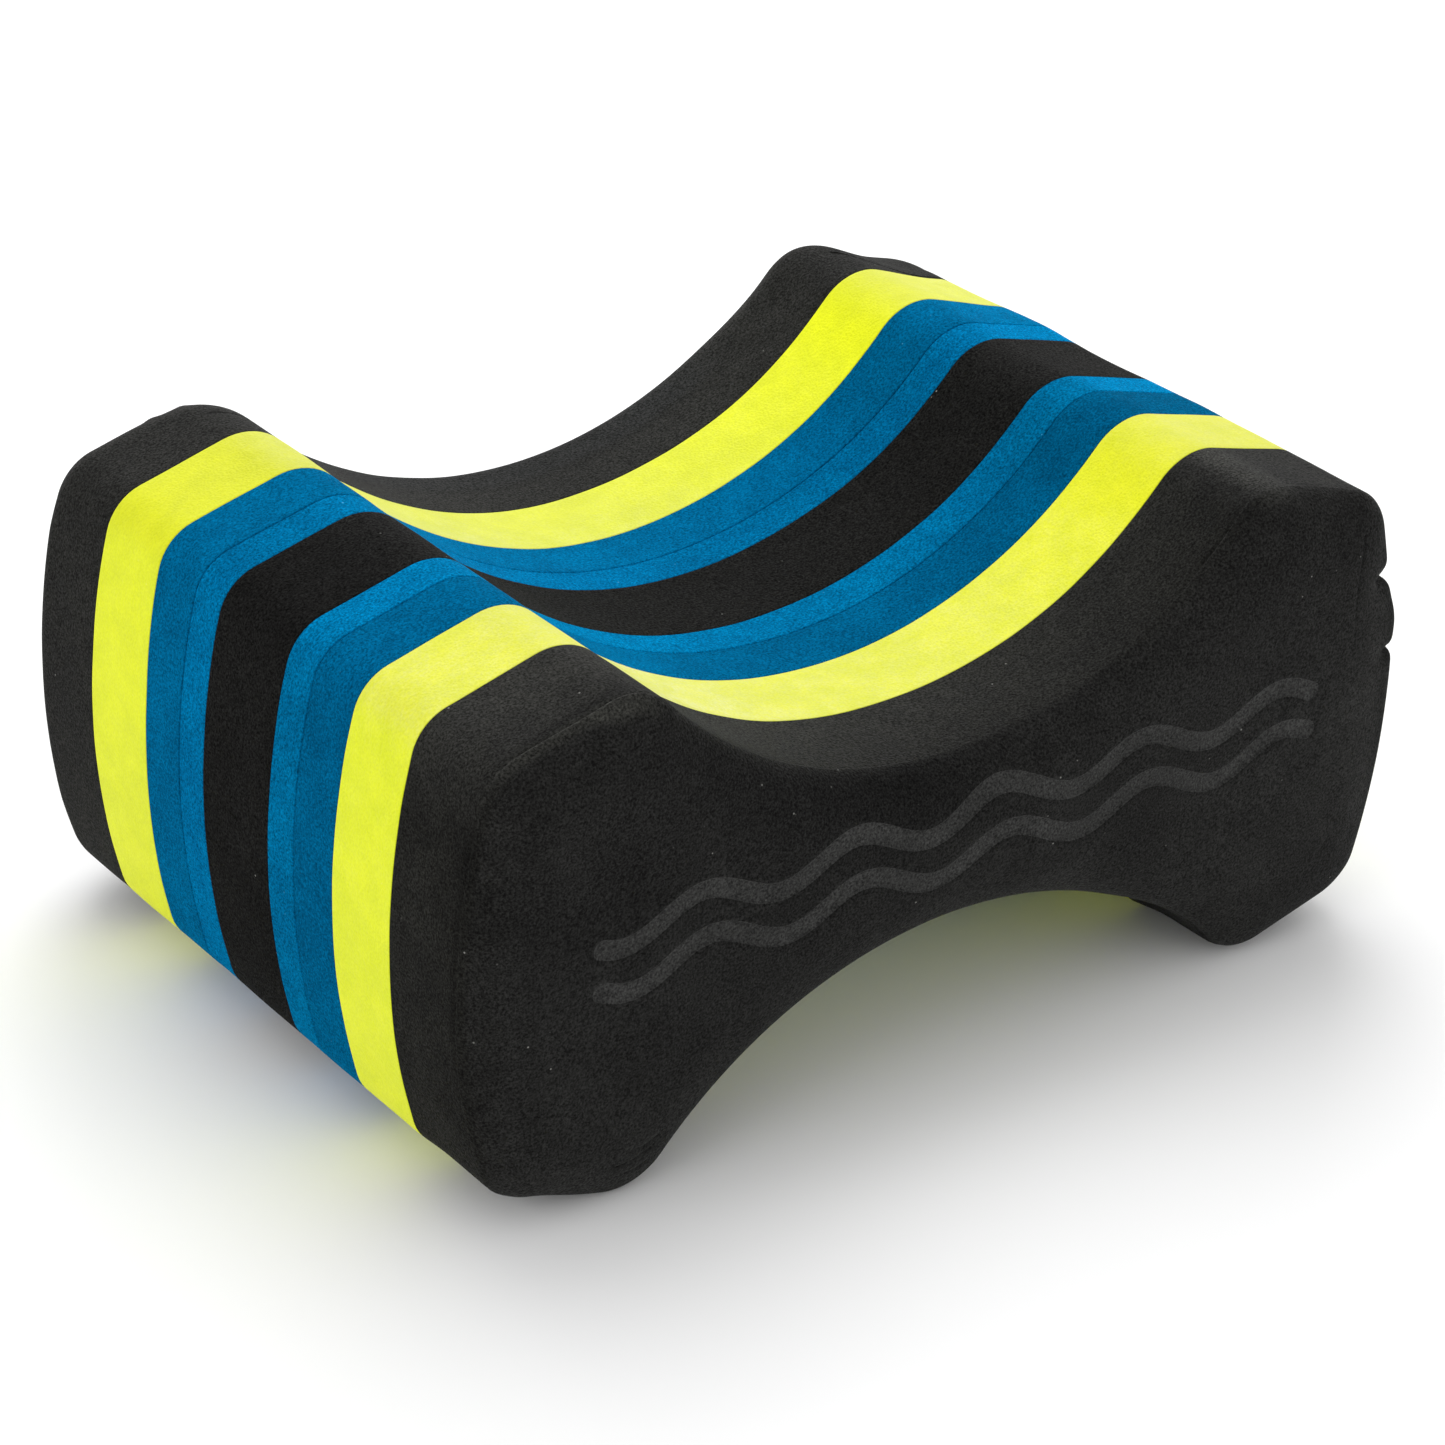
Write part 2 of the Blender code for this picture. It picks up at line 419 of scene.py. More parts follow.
def rim_inset(past, front):
    """Inset of the rim at past metres beyond the crease of a standard rim."""
    rest = np.maximum(0.0, 1 - (past / RIM_DEPTH) ** rim_power(front))
    return RIM_INSET * (1 - np.sqrt(rest))


def rim_drop(inset, depth, front):
    """How far behind the face the rim lies where it is set in by inset metres."""
    rest = np.clip(1 - inset / RIM_INSET, 0.0, 1.0)
    return depth * (1 - (1 - rest * rest) ** (1 / rim_power(front)))


def rim_depth(x, z, front):
    """The rim runs back RIM_DEPTH, and farther where the foam is more worn.

    That is the front slab's upper right-hand facet, and the rear slab's ridges and facets.
    """
    if front:
        facet = step((x - 0.066) / 0.014) * step((0.104 - x) / 0.010) * step((z - 0.034) / 0.010)
        return RIM_DEPTH + 1.2 * MM * facet
    left = 2.2 * step((-0.036 - x) / 0.016) + 4.6 * bump(x + 0.070, 0.013)
    right = 2.6 * step((x - 0.030) / 0.018) + 12.8 * step((x - 0.074) / 0.022)
    extra = np.where(x < 0, left, right) * MM
    return RIM_DEPTH + 1.3 * MM + extra * step((np.abs(z) - 0.030) / 0.014)


# ---------------------------------------------------------------- lines in the front face
# two wave lines pressed in, plain decoration
WAVE_HALF_WIDTH = 2.0 * MM
WAVE_DEPTH = 0.50 * MM
WAVE_EASE = 0.34 * MM
WAVE_END_X, WAVE_PITCH, WAVE_HEIGHT, WAVE_POINTS = 0.0880, 0.0360, 3.0 * MM, 260
WAVE_MIDDLE = 3.1  # mm above the middle
WAVES = ((-5.0, 0.0), (5.0, 0.35))  # mm above WAVE_MIDDLE, and phase

# fine creases: a line of XZ points from the middle, and its depth
CREASE_HALF_WIDTH = 0.26 * MM
CREASE_EASE = 0.22 * MM
CREASE_SPACING = 0.6 * MM
CREASE_FADE = 2.5 * MM
CREASES = (
    (
        ((0.0997, 0.0405), (0.0988, 0.0345), (0.0984, 0.0290), (0.0985, 0.0220), (0.0988, 0.0130)),
        0.16 * MM,
    ),
    (
        (
            (-0.0862, -0.0425), (-0.0830, -0.0436), (-0.0790, -0.0434),
            (-0.0745, -0.0420), (-0.0712, -0.0402),
        ),
        0.30 * MM,
    ),
    (
        ((-0.0806, -0.0404), (-0.0772, -0.0410), (-0.0738, -0.0401), (-0.0716, -0.0386)),
        0.24 * MM,
    ),
    (((-0.0818, -0.0462), (-0.0782, -0.0465), (-0.0746, -0.0452)), 0.24 * MM),
)


def crease_lines():
    """(line, depth) of each crease, with evenly spaced points."""
    lines = []
    for points, depth in CREASES:
        points = np.array(points)
        lengths = np.linalg.norm(np.diff(points, axis=0), axis=1)
        along = np.concatenate([[0], np.cumsum(lengths)])
        places = np.linspace(0, along[-1], int(along[-1] / CREASE_SPACING) + 1)
        x, z = (np.interp(places, along, points[:, i]) for i in (0, 1))
        lines.append((np.stack([x, z], 1), depth))
    return lines


def wave_lines():
    x = np.linspace(-WAVE_END_X, WAVE_END_X, WAVE_POINTS)
    return [
        np.stack(
            [x, (WAVE_MIDDLE + above) * MM + WAVE_HEIGHT * np.sin(2 * pi * x / WAVE_PITCH + phase)],
            1,
        )
        for above, phase in WAVES
    ]


def distance_to(points, line):
    """Distance of each point to an open line, worked out in blocks to spare memory."""
    start, span = line[:-1], line[1:] - line[:-1]
    block = 2000
    best = np.full(len(points), 1e9)
    for first in range(0, len(points), block):
        part = points[first : first + block]
        share = np.clip(((part[:, None] - start) * span).sum(2) / (span * span).sum(1), 0, 1)
        foot = start + share[:, :, None] * span
        best[first : first + block] = np.linalg.norm(part[:, None] - foot, axis=2).min(1)
    return best


def offset_loop(line, offset):
    """Closed loop at a distance round an open line, with round ends."""
    tangent = np.gradient(line, axis=0)
    tangent /= np.linalg.norm(tangent, axis=1, keepdims=True)
    normal = np.stack([-tangent[:, 1], tangent[:, 0]], 1)

    def round_end(centre, way):
        first = atan2(way[1], way[0])
        angles = [first - pi * i / 8 for i in range(1, 8)]
        return [centre + offset * np.array([cos(angle), sin(angle)]) for angle in angles]

    end = round_end(line[-1], normal[-1])
    start = round_end(line[0], -normal[0])
    return np.concatenate([line + offset * normal, end, (line - offset * normal)[::-1], start])


def pressed(points, line, half_width, ease, depth):
    """Depth of a line pressed into the face, at each point."""
    return depth * step((half_width + ease - distance_to(points, line)) / (2 * ease))


# ---------------------------------------------------------------- free faces
FACE_GRID = (2.0 * MM, -0.115, 0.115, -0.056, 0.056)  # spacing, low and high x, low and high z
WAVE_GRID = (1.0 * MM, -0.092, 0.092, -0.012, 0.020)
WAVE_ZONE = 4.5 * MM  # the finer grid reaches this far from the wave lines
# bands round the rim, the wave edges and the creases that grid points keep out of
RIM_CLEAR, WAVE_CLEAR, CREASE_CLEAR = 1.1 * MM, 0.45 * MM, 0.35 * MM
WAVE_LOOPS = (WAVE_EASE, 0.12 * MM, -0.12 * MM, -WAVE_EASE)
CREASE_LOOPS = (CREASE_EASE, 0.0, -CREASE_EASE)
INSET_STEP = 0.4 * MM
SLIVER = 2e-10  # twice the area, in square metres
PRESSED_MARGIN = 0.10 * MM  # how far the pressed material runs past the line's half width
FACE_PAST = 4.5  # the rim attribute where the face begins


def inset_finder(segs, start):
    """A function that gives each point's inset from the outline, beyond start."""
    levels = np.arange(start - INSET_STEP, RIM_INSET + 0.9 * MM, INSET_STEP)
    rings = [outline(level, segs) for level in levels]
    size, last = len(rings[0]), len(rings) - 1
    tree = KDTree(len(rings) * size)
    inwards, rates = [], []
    for j, ring in enumerate(rings):
        inward = -outward(ring)
        before, after = max(j - 1, 0), min(j + 1, last)
        span = levels[after] - levels[before]
        inwards.append(inward)
        rates.append(((rings[after] - rings[before]) * inward).sum(1) / span)
        for i, (x, z) in enumerate(ring):
            tree.insert((x, z, 0.0), j * size + i)
    tree.balance()
    nodes = np.concatenate(rings)
    inwards, rates = np.concatenate(inwards), np.concatenate(rates)
    node_levels = np.repeat(levels, size)

    def find(points):
        insets = np.empty(len(points))
        for k, point in enumerate(points):
            _, i, _ = tree.find((point[0], point[1], 0.0))
            insets[k] = node_levels[i] + (point - nodes[i]) @ inwards[i] / max(rates[i], 0.3)
        return insets

    return find


def inside(points, polygon):
    """Even-odd test."""
    hit = np.zeros(len(points), bool)
    x, z = points[:, 0], points[:, 1]
    for (x0, z0), (x1, z1) in zip(polygon, np.roll(polygon, -1, 0)):
        if z0 == z1:
            continue
        cross = (z > min(z0, z1)) & (z <= max(z0, z1))
        hit ^= cross & (x < (x1 - x0) * (z - z0) / (z1 - z0) + x0)
    return hit


def grid_points(spacing, low_x, high_x, low_z, high_z):
    """A grid of near-equilateral triangles."""
    rows = []
    for row, z in enumerate(np.arange(low_z, high_z, spacing * 0.866)):
        x = np.arange(low_x, high_x, spacing) + (spacing / 2 if row % 2 else 0)
        rows.append(np.stack([x, np.full_like(x, z)], 1))
    return np.concatenate(rows)


def face_points(boundary, find, start, lines, creases):
    """The grid points of a free face, and the closed loops its triangles must follow."""

    def clear_grid(grid):
        points = grid_points(*grid)
        points = points[inside(points, boundary)]
        return points[find(points) > start + RIM_CLEAR]

    free, loops = clear_grid(FACE_GRID), []
    if lines:
        fine = clear_grid(WAVE_GRID)
        fine = fine[np.min([distance_to(fine, line) for line in lines], 0) < WAVE_ZONE]
        coarse = free[np.min([distance_to(free, line) for line in lines], 0) >= WAVE_ZONE]
        free = np.concatenate([coarse, fine])
    for line in lines:
        edge_distance = np.abs(distance_to(free, line) - WAVE_HALF_WIDTH)
        free = free[edge_distance > WAVE_EASE + WAVE_CLEAR]
        loops += [offset_loop(line, WAVE_HALF_WIDTH + offset) for offset in WAVE_LOOPS]
    for line, _ in creases:
        free = free[distance_to(free, line) > CREASE_HALF_WIDTH + CREASE_EASE + CREASE_CLEAR]
        loops += [offset_loop(line, CREASE_HALF_WIDTH + offset) for offset in CREASE_LOOPS]
    return free, loops


def triangulate(boundary, loops, free):
    """Flat points, triangles, and for each point its index on the boundary or -1."""
    points, edges = [], []
    for loop in (boundary, *loops):
        first = len(points)
        points += [Vector(point) for point in loop]
        edges += [(first + i, first + (i + 1) % len(loop)) for i in range(len(loop))]
    points += [Vector(point) for point in free]
    flat, _, tris, sources, _, _ = delaunay_2d_cdt(points, edges, [], 0, 1e-7, True)
    flat = np.array([tuple(point) for point in flat])
    tris = np.array(tris)
    size = len(boundary)
    seats = np.array([next((i for i in origins if i < size), -1) for origins in sources])
    # rounding leaves slivers outside the straight facets, between three boundary points
    first, second, third = (flat[tris[:, i]] for i in range(3))
    side, other = second - first, third - first
    twice_area = np.abs(side[:, 0] * other[:, 1] - side[:, 1] * other[:, 0])
    sliver = (seats >= 0)[tris].all(1) & (twice_area < SLIVER)
    return flat, tris[inside(flat[tris].mean(1), boundary) & ~sliver], seats


def free_face(shell, ring, segs, start, front, plane):
    """Fills the ring at inset start with the slab's crowned face, following the pressed lines."""
    boundary = outline(start, segs)
    find = inset_finder(segs, start)
    lines = wave_lines() if front else []
    creases = crease_lines() if front else []
    free, loops = face_points(boundary, find, start, lines, creases)
    flat, tris, seats = triangulate(boundary, loops, free)

    x, z = flat[:, 0], flat[:, 1]
    inset = find(flat)
    # slow unevenness, fading out towards the rim
    dish = FACE_SWELL * face_swell(np.stack([x, np.full_like(x, 0.0 if front else 0.7), z], 1))
    drop = rim_drop(inset, rim_depth(x, z, front), front)
    drop = drop + dish * np.clip((inset - start) / (4 * MM), 0, 1)
    for line in lines:
        drop = drop + pressed(flat, line, WAVE_HALF_WIDTH, WAVE_EASE, WAVE_DEPTH)
    for line, depth in creases:
        ends = np.min([np.linalg.norm(flat - line[i], axis=1) for i in (0, -1)], 0)
        dip = pressed(flat, line, CREASE_HALF_WIDTH, CREASE_EASE, depth)
        drop = drop + dip * np.clip(ends / CREASE_FADE, 0, 1)
    y = plane + drop if front else plane - drop

    new = seats < 0
    where = np.where(new, -1, ring[seats])
    past = FACE_PAST + (inset - start) / MM  # roughly millimetres past the crease
    where[new] = shell.ring(np.stack([x, y, z + MIDDLE], 1)[new], past[new])
    slots = np.zeros(len(tris), int)
    if lines:
        distance = np.min([distance_to(flat[tris].mean(1), line) for line in lines], 0)
        slots = (distance < WAVE_HALF_WIDTH + PRESSED_MARGIN).astype(int)
    for tri, slot in zip(tris, slots):
        (x0, z0), (x1, z1), (x2, z2) = (flat[i] for i in tri)
        turn = (x1 - x0) * (z2 - z0) - (z1 - z0) * (x2 - x0)
        # seen from the front, X runs right and Z up, so counter-clockwise faces -Y
        if (turn > 0) != front:
            tri = tri[::-1]
        shell.add([tuple(where[i] for i in tri)], slot)


# ---------------------------------------------------------------- outer slabs
CREASE_BACK = 1.6 * MM  # the plain part of the cut side ends this far before the crease
# rings round the crease: mm past it, share of the groove, share of the lip
CREASE_RINGS = (
    (-0.9, 0.0, 0.0),
    (-0.5, 0.10, 0.0),
    (-0.22, 0.60, 0.0),
    (0.0, 1.0, 0.0),
    (0.22, 0.55, 0.1),
    (0.5, 0.05, 0.7),
    (0.85, 0.0, 1.0),
    (1.25, 0.0, 0.65),
    (1.7, 0.0, 0.15),
)
RIM_RINGS = (2.1, 2.55, 3.0, 3.4, 3.8, 4.15, 4.49)  # mm past the crease


def crease_shape(x, z, front):
    """Groove depth and lip height along the crease; the rear slab has neither.

    They show best on the left-hand facet; the groove also shows down the upper part of the left
    end and for a short way on the right-hand slope of the saddle.
    """
    if not front:
        return np.zeros_like(x), np.zeros_like(x)
    facet = step((z - 0.030) / 0.012) * step((-0.071 - x) / 0.008) * step((x + 0.108) / 0.008)
    left_end = step((-0.106 - x) / 0.005) * step((z + 0.034) / 0.024)
    slope = step((z - 0.030) / 0.006) * bump(x - 0.0638, 0.0068)
    return MM * (0.05 + 0.24 * facet + 0.04 * left_end + 0.36 * slope), MM * (0.03 + 0.46 * facet)


def slab(front):
    """An outer slab: hidden cap, cut side, crease, ground rim and free face."""
    segs = FRONT_SLAB_SEGS if front else REAR_SLAB_SEGS
    # toward is the direction from the glue joint to the free face
    joint, toward, plane = (0, -1.0, FRONT) if front else (len(SEAMS) - 1, 1.0, REAR)
    base = outline(0.0, segs)
    normal = outward(base)
    x, z = base[:, 0], base[:, 1]
    gap, ease = joint_sizes(joint)
    edge = seam_y(joint, x, z) + toward * gap
    turn = np.arange(len(base)) / len(base) * 2 * pi
    wander = CREASE_WANDER * (
        np.sin(3 * turn + 1.0) + np.sin(7 * turn + 2.2) + 0.6 * np.sin(13 * turn)
    )
    groove, lip = crease_shape(x, z, front)
    shell, rings = Shell(), []

    def rim_y(points, past):
        """Y at past standard millimetres beyond the crease."""
        depth = rim_depth(points[:, 0], points[:, 1], front)
        return plane - toward * depth + toward * past * MM * depth / RIM_DEPTH

    def lay(points, normals, y, out):
        past = toward * (y - (plane - toward * RIM_DEPTH)) / MM
        rings.append(shell.ring(side_ring(points, normals, y, out), past))

    for y, cut in eased_edge(edge, ease, toward):
        lay(base, normal, y, relief(base, y) - cut)
    first = edge + toward * ease
    last = rim_y(base, 0.0) - toward * CREASE_BACK + wander
    for share in SLAB_SHARES:
        y = first + (last - first) * share
        lay(base, normal, y, relief(base, y))
    for past, cut, rise in CREASE_RINGS:
        inner = outline(float(rim_inset(past * MM, front)), segs) if past > 0 else base
        y = rim_y(inner, past) + wander
        lay(inner, normal, y, relief(base, y) - groove * cut + lip * rise)
    # the unevenness of the cut side fades out over the rim
    last_crease, last_rim = CREASE_RINGS[-1][0], RIM_RINGS[-1]
    for past in RIM_RINGS:
        fade = 1 - (past - last_crease) / (last_rim - last_crease)
        inner = outline(float(rim_inset(past * MM, front)), segs)
        y = rim_y(inner, past) + wander * fade
        lay(inner, outward(inner), y, relief(base, y) * fade)
    shell.bridge_all(rings, rearward=not front)
    shell.cap(rings[0], joint, toward * gap, front=not front)
    free_face(shell, rings[-1], segs, float(rim_inset(last_rim * MM, front)), front, plane)
    shell.marks = front_marks if front else rear_marks
    return shell


# ---------------------------------------------------------------- material building
def srgb(*channels):
    """Linear colour of an 8-bit display colour."""
    shares = [channel / 255 for channel in channels]
    return (*(c / 12.92 if c <= 0.04045 else ((c + 0.055) / 1.055) ** 2.4 for c in shares), 1.0)


class Material:
    """A node material. Its methods add nodes and give back their output sockets."""

    def __init__(self, name):
        self.material = bpy.data.materials.new(name)
        self.material.use_nodes = True
        self.tree = self.material.node_tree
        self.shader = self.tree.nodes["Principled BSDF"]
        self.place = self.add("ShaderNodeTexCoord").outputs["Object"]

    def add(self, kind, **settings):
        node = self.tree.nodes.new(kind)
        for key, value in settings.items():
            setattr(node, key, value)
        return node

    def feed(self, socket, value):
        """Links an output to the socket, or sets the socket's own value."""
        if isinstance(value, bpy.types.NodeSocket):
            self.tree.links.new(value, socket)
        else:
            socket.default_value = value

    def put(self, key, value):
        self.feed(self.shader.inputs[key], value)

    def noise(self, scale, detail=2.0, rough=0.5, distortion=0.0):
        node = self.add("ShaderNodeTexNoise")
        keys = ("Scale", "Detail", "Roughness", "Distortion", "Vector")
        for key, value in zip(keys, (scale, detail, rough, distortion, self.place)):
            self.feed(node.inputs[key], value)
        return node.outputs["Fac"]

    def cells(self, scale):
        node = self.add("ShaderNodeTexVoronoi")
        self.feed(node.inputs["Scale"], scale)
        self.feed(node.inputs["Vector"], self.place)
        return node.outputs["Distance"]

    def ramp(self, value, places, levels, smooth=True):
        """levels[0] up to places[0] and levels[1] from places[1] on."""
        node = self.add("ShaderNodeMapRange")
        if smooth:
            node.interpolation_type = "SMOOTHSTEP"
        keys = ("From Min", "From Max", "To Min", "To Max", "Value")
        for key, number in zip(keys, (*places, *levels, value)):
            self.feed(node.inputs[key], number)
        return node.outputs["Result"]

    def window(self, value, rise, fall, top=1.0):
        """Rises from 0 to top over rise, and goes back to 0 over fall."""
        return self.times(self.ramp(value, rise, (0.0, top)), self.ramp(value, fall, (1.0, 0.0)))

    def math(self, operation, first, second=0.0):
        node = self.add("ShaderNodeMath", operation=operation)
        self.feed(node.inputs[0], first)
        self.feed(node.inputs[1], second)
        return node.outputs["Value"]

    def plus(self, first, second):
        return self.math("ADD", first, second)

    def minus(self, first, second):
        return self.math("SUBTRACT", first, second)

    def times(self, *values):
        product = values[0]
        for value in values[1:]:
            product = self.math("MULTIPLY", product, value)
        return product

    def raised(self, *values):
        """1 plus the product of the values."""
        return self.plus(1.0, self.times(*values))

    def lowered(self, *values):
        """1 minus the product of the values."""
        return self.minus(1.0, self.times(*values))

    def mix(self, factor, first, second, blend="MIX"):
        node = self.add("ShaderNodeMix", data_type="RGBA", blend_type=blend)
        for index, value in ((0, factor), (6, first), (7, second)):
            self.feed(node.inputs[index], value)
        return node.outputs[2]

    def bump(self, height, distance, strength, onto=None):
        node = self.add("ShaderNodeBump")
        self.feed(node.inputs["Distance"], distance)
        self.feed(node.inputs["Strength"], strength)
        self.feed(node.inputs["Height"], height)
        if onto is not None:
            self.feed(node.inputs["Normal"], onto)
        return node.outputs["Normal"]

    def rim(self):
        """Roughly millimetres past the crease."""
        return self.add("ShaderNodeAttribute", attribute_name="rim").outputs["Fac"]

    def from_rim(self, place):
        """Distance either way from a place on the rim scale."""
        return self.math("ABSOLUTE", self.plus(self.rim(), -place))

    def split(self, vector, letter):
        node = self.add("ShaderNodeSeparateXYZ")
        self.feed(node.inputs[0], vector)
        return node.outputs[letter]

    def axis(self, letter):
        return self.split(self.place, letter)

    def facing_up(self):
        """The upward part of the smooth normal: 0 on the end faces, 1 mid-saddle."""
        return self.split(self.add("ShaderNodeNewGeometry").outputs["Normal"], "Z")

    def flank(self):
        """1 on the two end faces, 0 on the facets and saddles."""
        return self.ramp(self.math("ABSOLUTE", self.axis("X")), (0.1055, 0.1125), (0.0, 1.0))

    def blob(self, x, z, radius):
        """1 at (x, z), fading smoothly to 0 at radius."""
        dx = self.minus(self.axis("X"), x)
        dz = self.minus(self.axis("Z"), z)
        away = self.math("SQRT", self.plus(self.times(dx, dx), self.times(dz, dz)))
        return self.ramp(away, (0.0, radius), (1.0, 0.0))

    def spot(self, x, z, radius, change):
        """A factor of 1 that changes by change at (x, z)."""
        blob = self.blob(x, z, radius)
        return self.raised(blob, change) if change > 0 else self.lowered(blob, -change)

    def wobble(self, scale, size):
        return self.times(self.minus(self.noise(scale), 0.5), size)

    def profile(self, value, *stops):
        """A smooth factor through the stops, each a place in millimetres and a level."""
        factor = stops[0][1]
        for (start, before), (end, after) in zip(stops, stops[1:]):
            if before != after:
                change = self.ramp(value, (start * MM, end * MM), (1.0, after / before))
                factor = self.times(factor, change)
        return factor

    def scaled(self, colour, factor):
        return self.mix(1.0, colour, factor, "MULTIPLY")

    def blue_scaled(self, colour, factor):
        """Multiplies only the blue channel, which makes a yellow paler or deeper."""
        node = self.add("ShaderNodeCombineXYZ")
        for letter, value in zip("XYZ", (1.0, 1.0, factor)):
            self.feed(node.inputs[letter], value)
        return self.scaled(colour, node.outputs["Vector"])


def foam(
    name, low, high, grain, pores, roughness, specular, specks, speck_colour,
    tone=None, sheen=None, sheen_tint=None, matte=0.0,
):
    """Closed-cell foam: two shades mottled over a few millimetres, cell grain and light specks.

    tone(mat, shade, colour) may change the colour by zone before the grain goes on. The cut cells
    break up the shine as well as the colour. specks is how strongly the specks show, and matte how
    much duller the end faces are.
    """
    mat = Material(name)
    wide = mat.noise(34.0, detail=3.0, rough=0.55)
    patches = mat.noise(150.0, detail=4.0, rough=0.6, distortion=0.4)
    fine = mat.noise(2000.0, rough=0.72)
    cell = mat.cells(1700.0)
    blend = mat.plus(mat.times(wide, 0.45), mat.times(patches, 0.55))
    shade = mat.ramp(blend, (0.36, 0.64), (0.0, 1.0))
    colour = mat.mix(shade, low, high)
    if tone:
        colour = tone(mat, shade, colour)
    # each cell wall and pore is a little lighter or darker
    grit = mat.ramp(fine, (0.33, 0.67), (1.0 - grain, 1.0 + grain), smooth=False)
    colour = mat.scaled(colour, grit)
    hollow = mat.ramp(cell, (0.10, 0.60), (1.0 - pores, 1.0 + pores * 0.6), smooth=False)
    colour = mat.scaled(colour, hollow)
    # specks sit in the middle of large cells, where a slow noise allows them
    dots = mat.cells(260.0)
    chance = mat.ramp(mat.noise(75.0, detail=1.0), (0.54, 0.64), (0.0, 1.0))
    speck = mat.times(mat.ramp(dots, (0.03, 0.065), (1.0, 0.0)), chance)
    colour = mat.mix(mat.times(speck, specks), colour, speck_colour)
    mat.put("Base Color", colour)
    rough = mat.ramp(blend, (0.3, 0.7), (roughness - 0.05, roughness + 0.05), smooth=False)
    mat.put("Roughness", rough)
    dull = mat.lowered(mat.flank(), matte) if matte else 1.0
    mat.put("Specular IOR Level", mat.times(grit, dull, specular))
    mat.put("Diffuse Roughness", 0.6)
    if sheen:
        mat.put("Sheen Weight", mat.times(grit, dull, sheen))
        mat.put("Sheen Roughness", 0.5)
        mat.put("Sheen Tint", sheen_tint)
    normal = None
    for height, distance, strength in (
        (mat.noise(60.0, detail=3.0), 0.00045, 0.5),
        (mat.noise(420.0, detail=3.0, rough=0.6), 0.00014, 0.7),
        (cell, 0.00010, 0.8),
        (fine, 0.00008, 0.8),
    ):
        normal = mat.bump(height, distance, strength, normal)
    mat.put("Normal", normal)
    return mat.material


# ---------------------------------------------------------------- tone of the front slab
# In all the tones, a ramp takes (from, to) places and the (from, to) levels there. Places along
# X, Y and Z are in metres, and those along rim or past in millimetres past the crease.

# lighter and darker spots of the free face: x, z, radius, change
FRONT_SPOTS = (
    (-0.100, 0.090, 0.026, 0.34),
    (-0.066, 0.082, 0.022, 0.14),
    (-0.083, 0.068, 0.024, -0.24),
    (0.064, 0.074, 0.024, -0.24),
    (0.104, 0.092, 0.024, -0.50),
    (0.096, 0.004, 0.031, -0.66),
    (0.106, 0.044, 0.020, 0.20),
    (0.090, 0.042, 0.034, 0.22),
    (-0.098, 0.018, 0.028, 0.34),
    (0.104, 0.017, 0.019, -0.24),
)
# darkness along X of the rim's foot: mm, level
FOOT_SHADOW = (
    (-76, 0.001), (-66, 0.42), (-56, 0.50), (-44, 0.26), (-28, 0.14), (-4, 0.12), (24, 0.05),
)


def front_side(mat, x, z, away, rim):
    """Level of the cut side, before the crease: painted light and shade by zone, lighter where the
    side faces the light and darker where it turns away.
    """
    left_saddle = mat.window(x, rise=(-0.082, -0.074), fall=(0.014, 0.034))
    slope = mat.window(x, rise=(0.054, 0.064), fall=(0.073, 0.078))
    near_seam = mat.window(x, rise=(0.026, 0.042), fall=(0.060, 0.070))
    low_crease_shade = mat.ramp(z, (0.006, 0.022), (0.42, 0.0))
    right_facet_shade = mat.window(x, rise=(0.081, 0.087), fall=(0.090, 0.097), top=0.22)
    return mat.times(
        # the left facet and ridge, then the saddle: painted light and shade
        mat.ramp(x, (-0.090, -0.076), (1.0, 0.84)),
        mat.ramp(x, (-0.080, -0.072), (1.0, 0.88)),
        mat.ramp(x, (-0.058, -0.048), (1.0, 1.12)),
        mat.lowered(left_saddle, mat.ramp(rim, (-14.0, -3.0), (0.0, 0.25))),
        mat.lowered(slope, mat.ramp(rim, (-16.0, -8.0), (0.0, 0.10))),
        mat.raised(near_seam, mat.ramp(rim, (-25.0, -15.0), (0.45, 0.0))),
        # painted shade on the saddle's right part, which turns from the light, a painted highlight
        # on the right ridge's crest, and painted shade on the facet past it
        mat.ramp(x, (0.002, 0.062), (1.0, 0.74)),
        mat.ramp(x, (0.0735, 0.0788), (1.0, 2.45)),
        mat.ramp(x, (0.0795, 0.0885), (1.0, 0.34)),
        # painted shade towards the crease, on the end faces and low down
        mat.ramp(rim, (-15.0, 0.5), (1.0, 0.80), smooth=False),
        mat.ramp(away, (0.1055, 0.1125), (1.0, 0.70)),
        mat.ramp(z, (0.004, 0.018), (0.34, 1.0)),
        mat.lowered(low_crease_shade, mat.ramp(rim, (-4.0, -1.0), (1.0, 0.0))),
        mat.lowered(right_facet_shade, mat.ramp(rim, (-18.0, -9.0), (0.0, 1.0))),
        mat.lowered(mat.flank(), mat.blob(-0.114, 0.080, 0.016), 0.10),
    )


def front_lip_light(mat, x, rim):
    """Painted shade darkens the left-hand facet towards its crease, and a painted highlight makes
    the lip past it lighter, most of all by the left ridge's crest.
    """
    lip = mat.times(
        mat.ramp(mat.rim(), (-14.0, -3.0), (1.0, 0.80), smooth=False),
        mat.ramp(mat.rim(), (-3.4, -1.5), (1.0, 0.78)),
        mat.ramp(mat.rim(), (-1.1, 0.4), (1.0, 2.0)),
    )
    facet = mat.window(x, rise=(-0.110, -0.104), fall=(-0.080, -0.073))
    crest = mat.window(x, rise=(-0.092, -0.084), fall=(-0.074, -0.069), top=0.55)
    return mat.times(
        mat.raised(mat.minus(lip, 1.0), facet),
        mat.raised(crest, mat.ramp(rim, (0.5, 1.3), (0.0, 1.0))),
    )


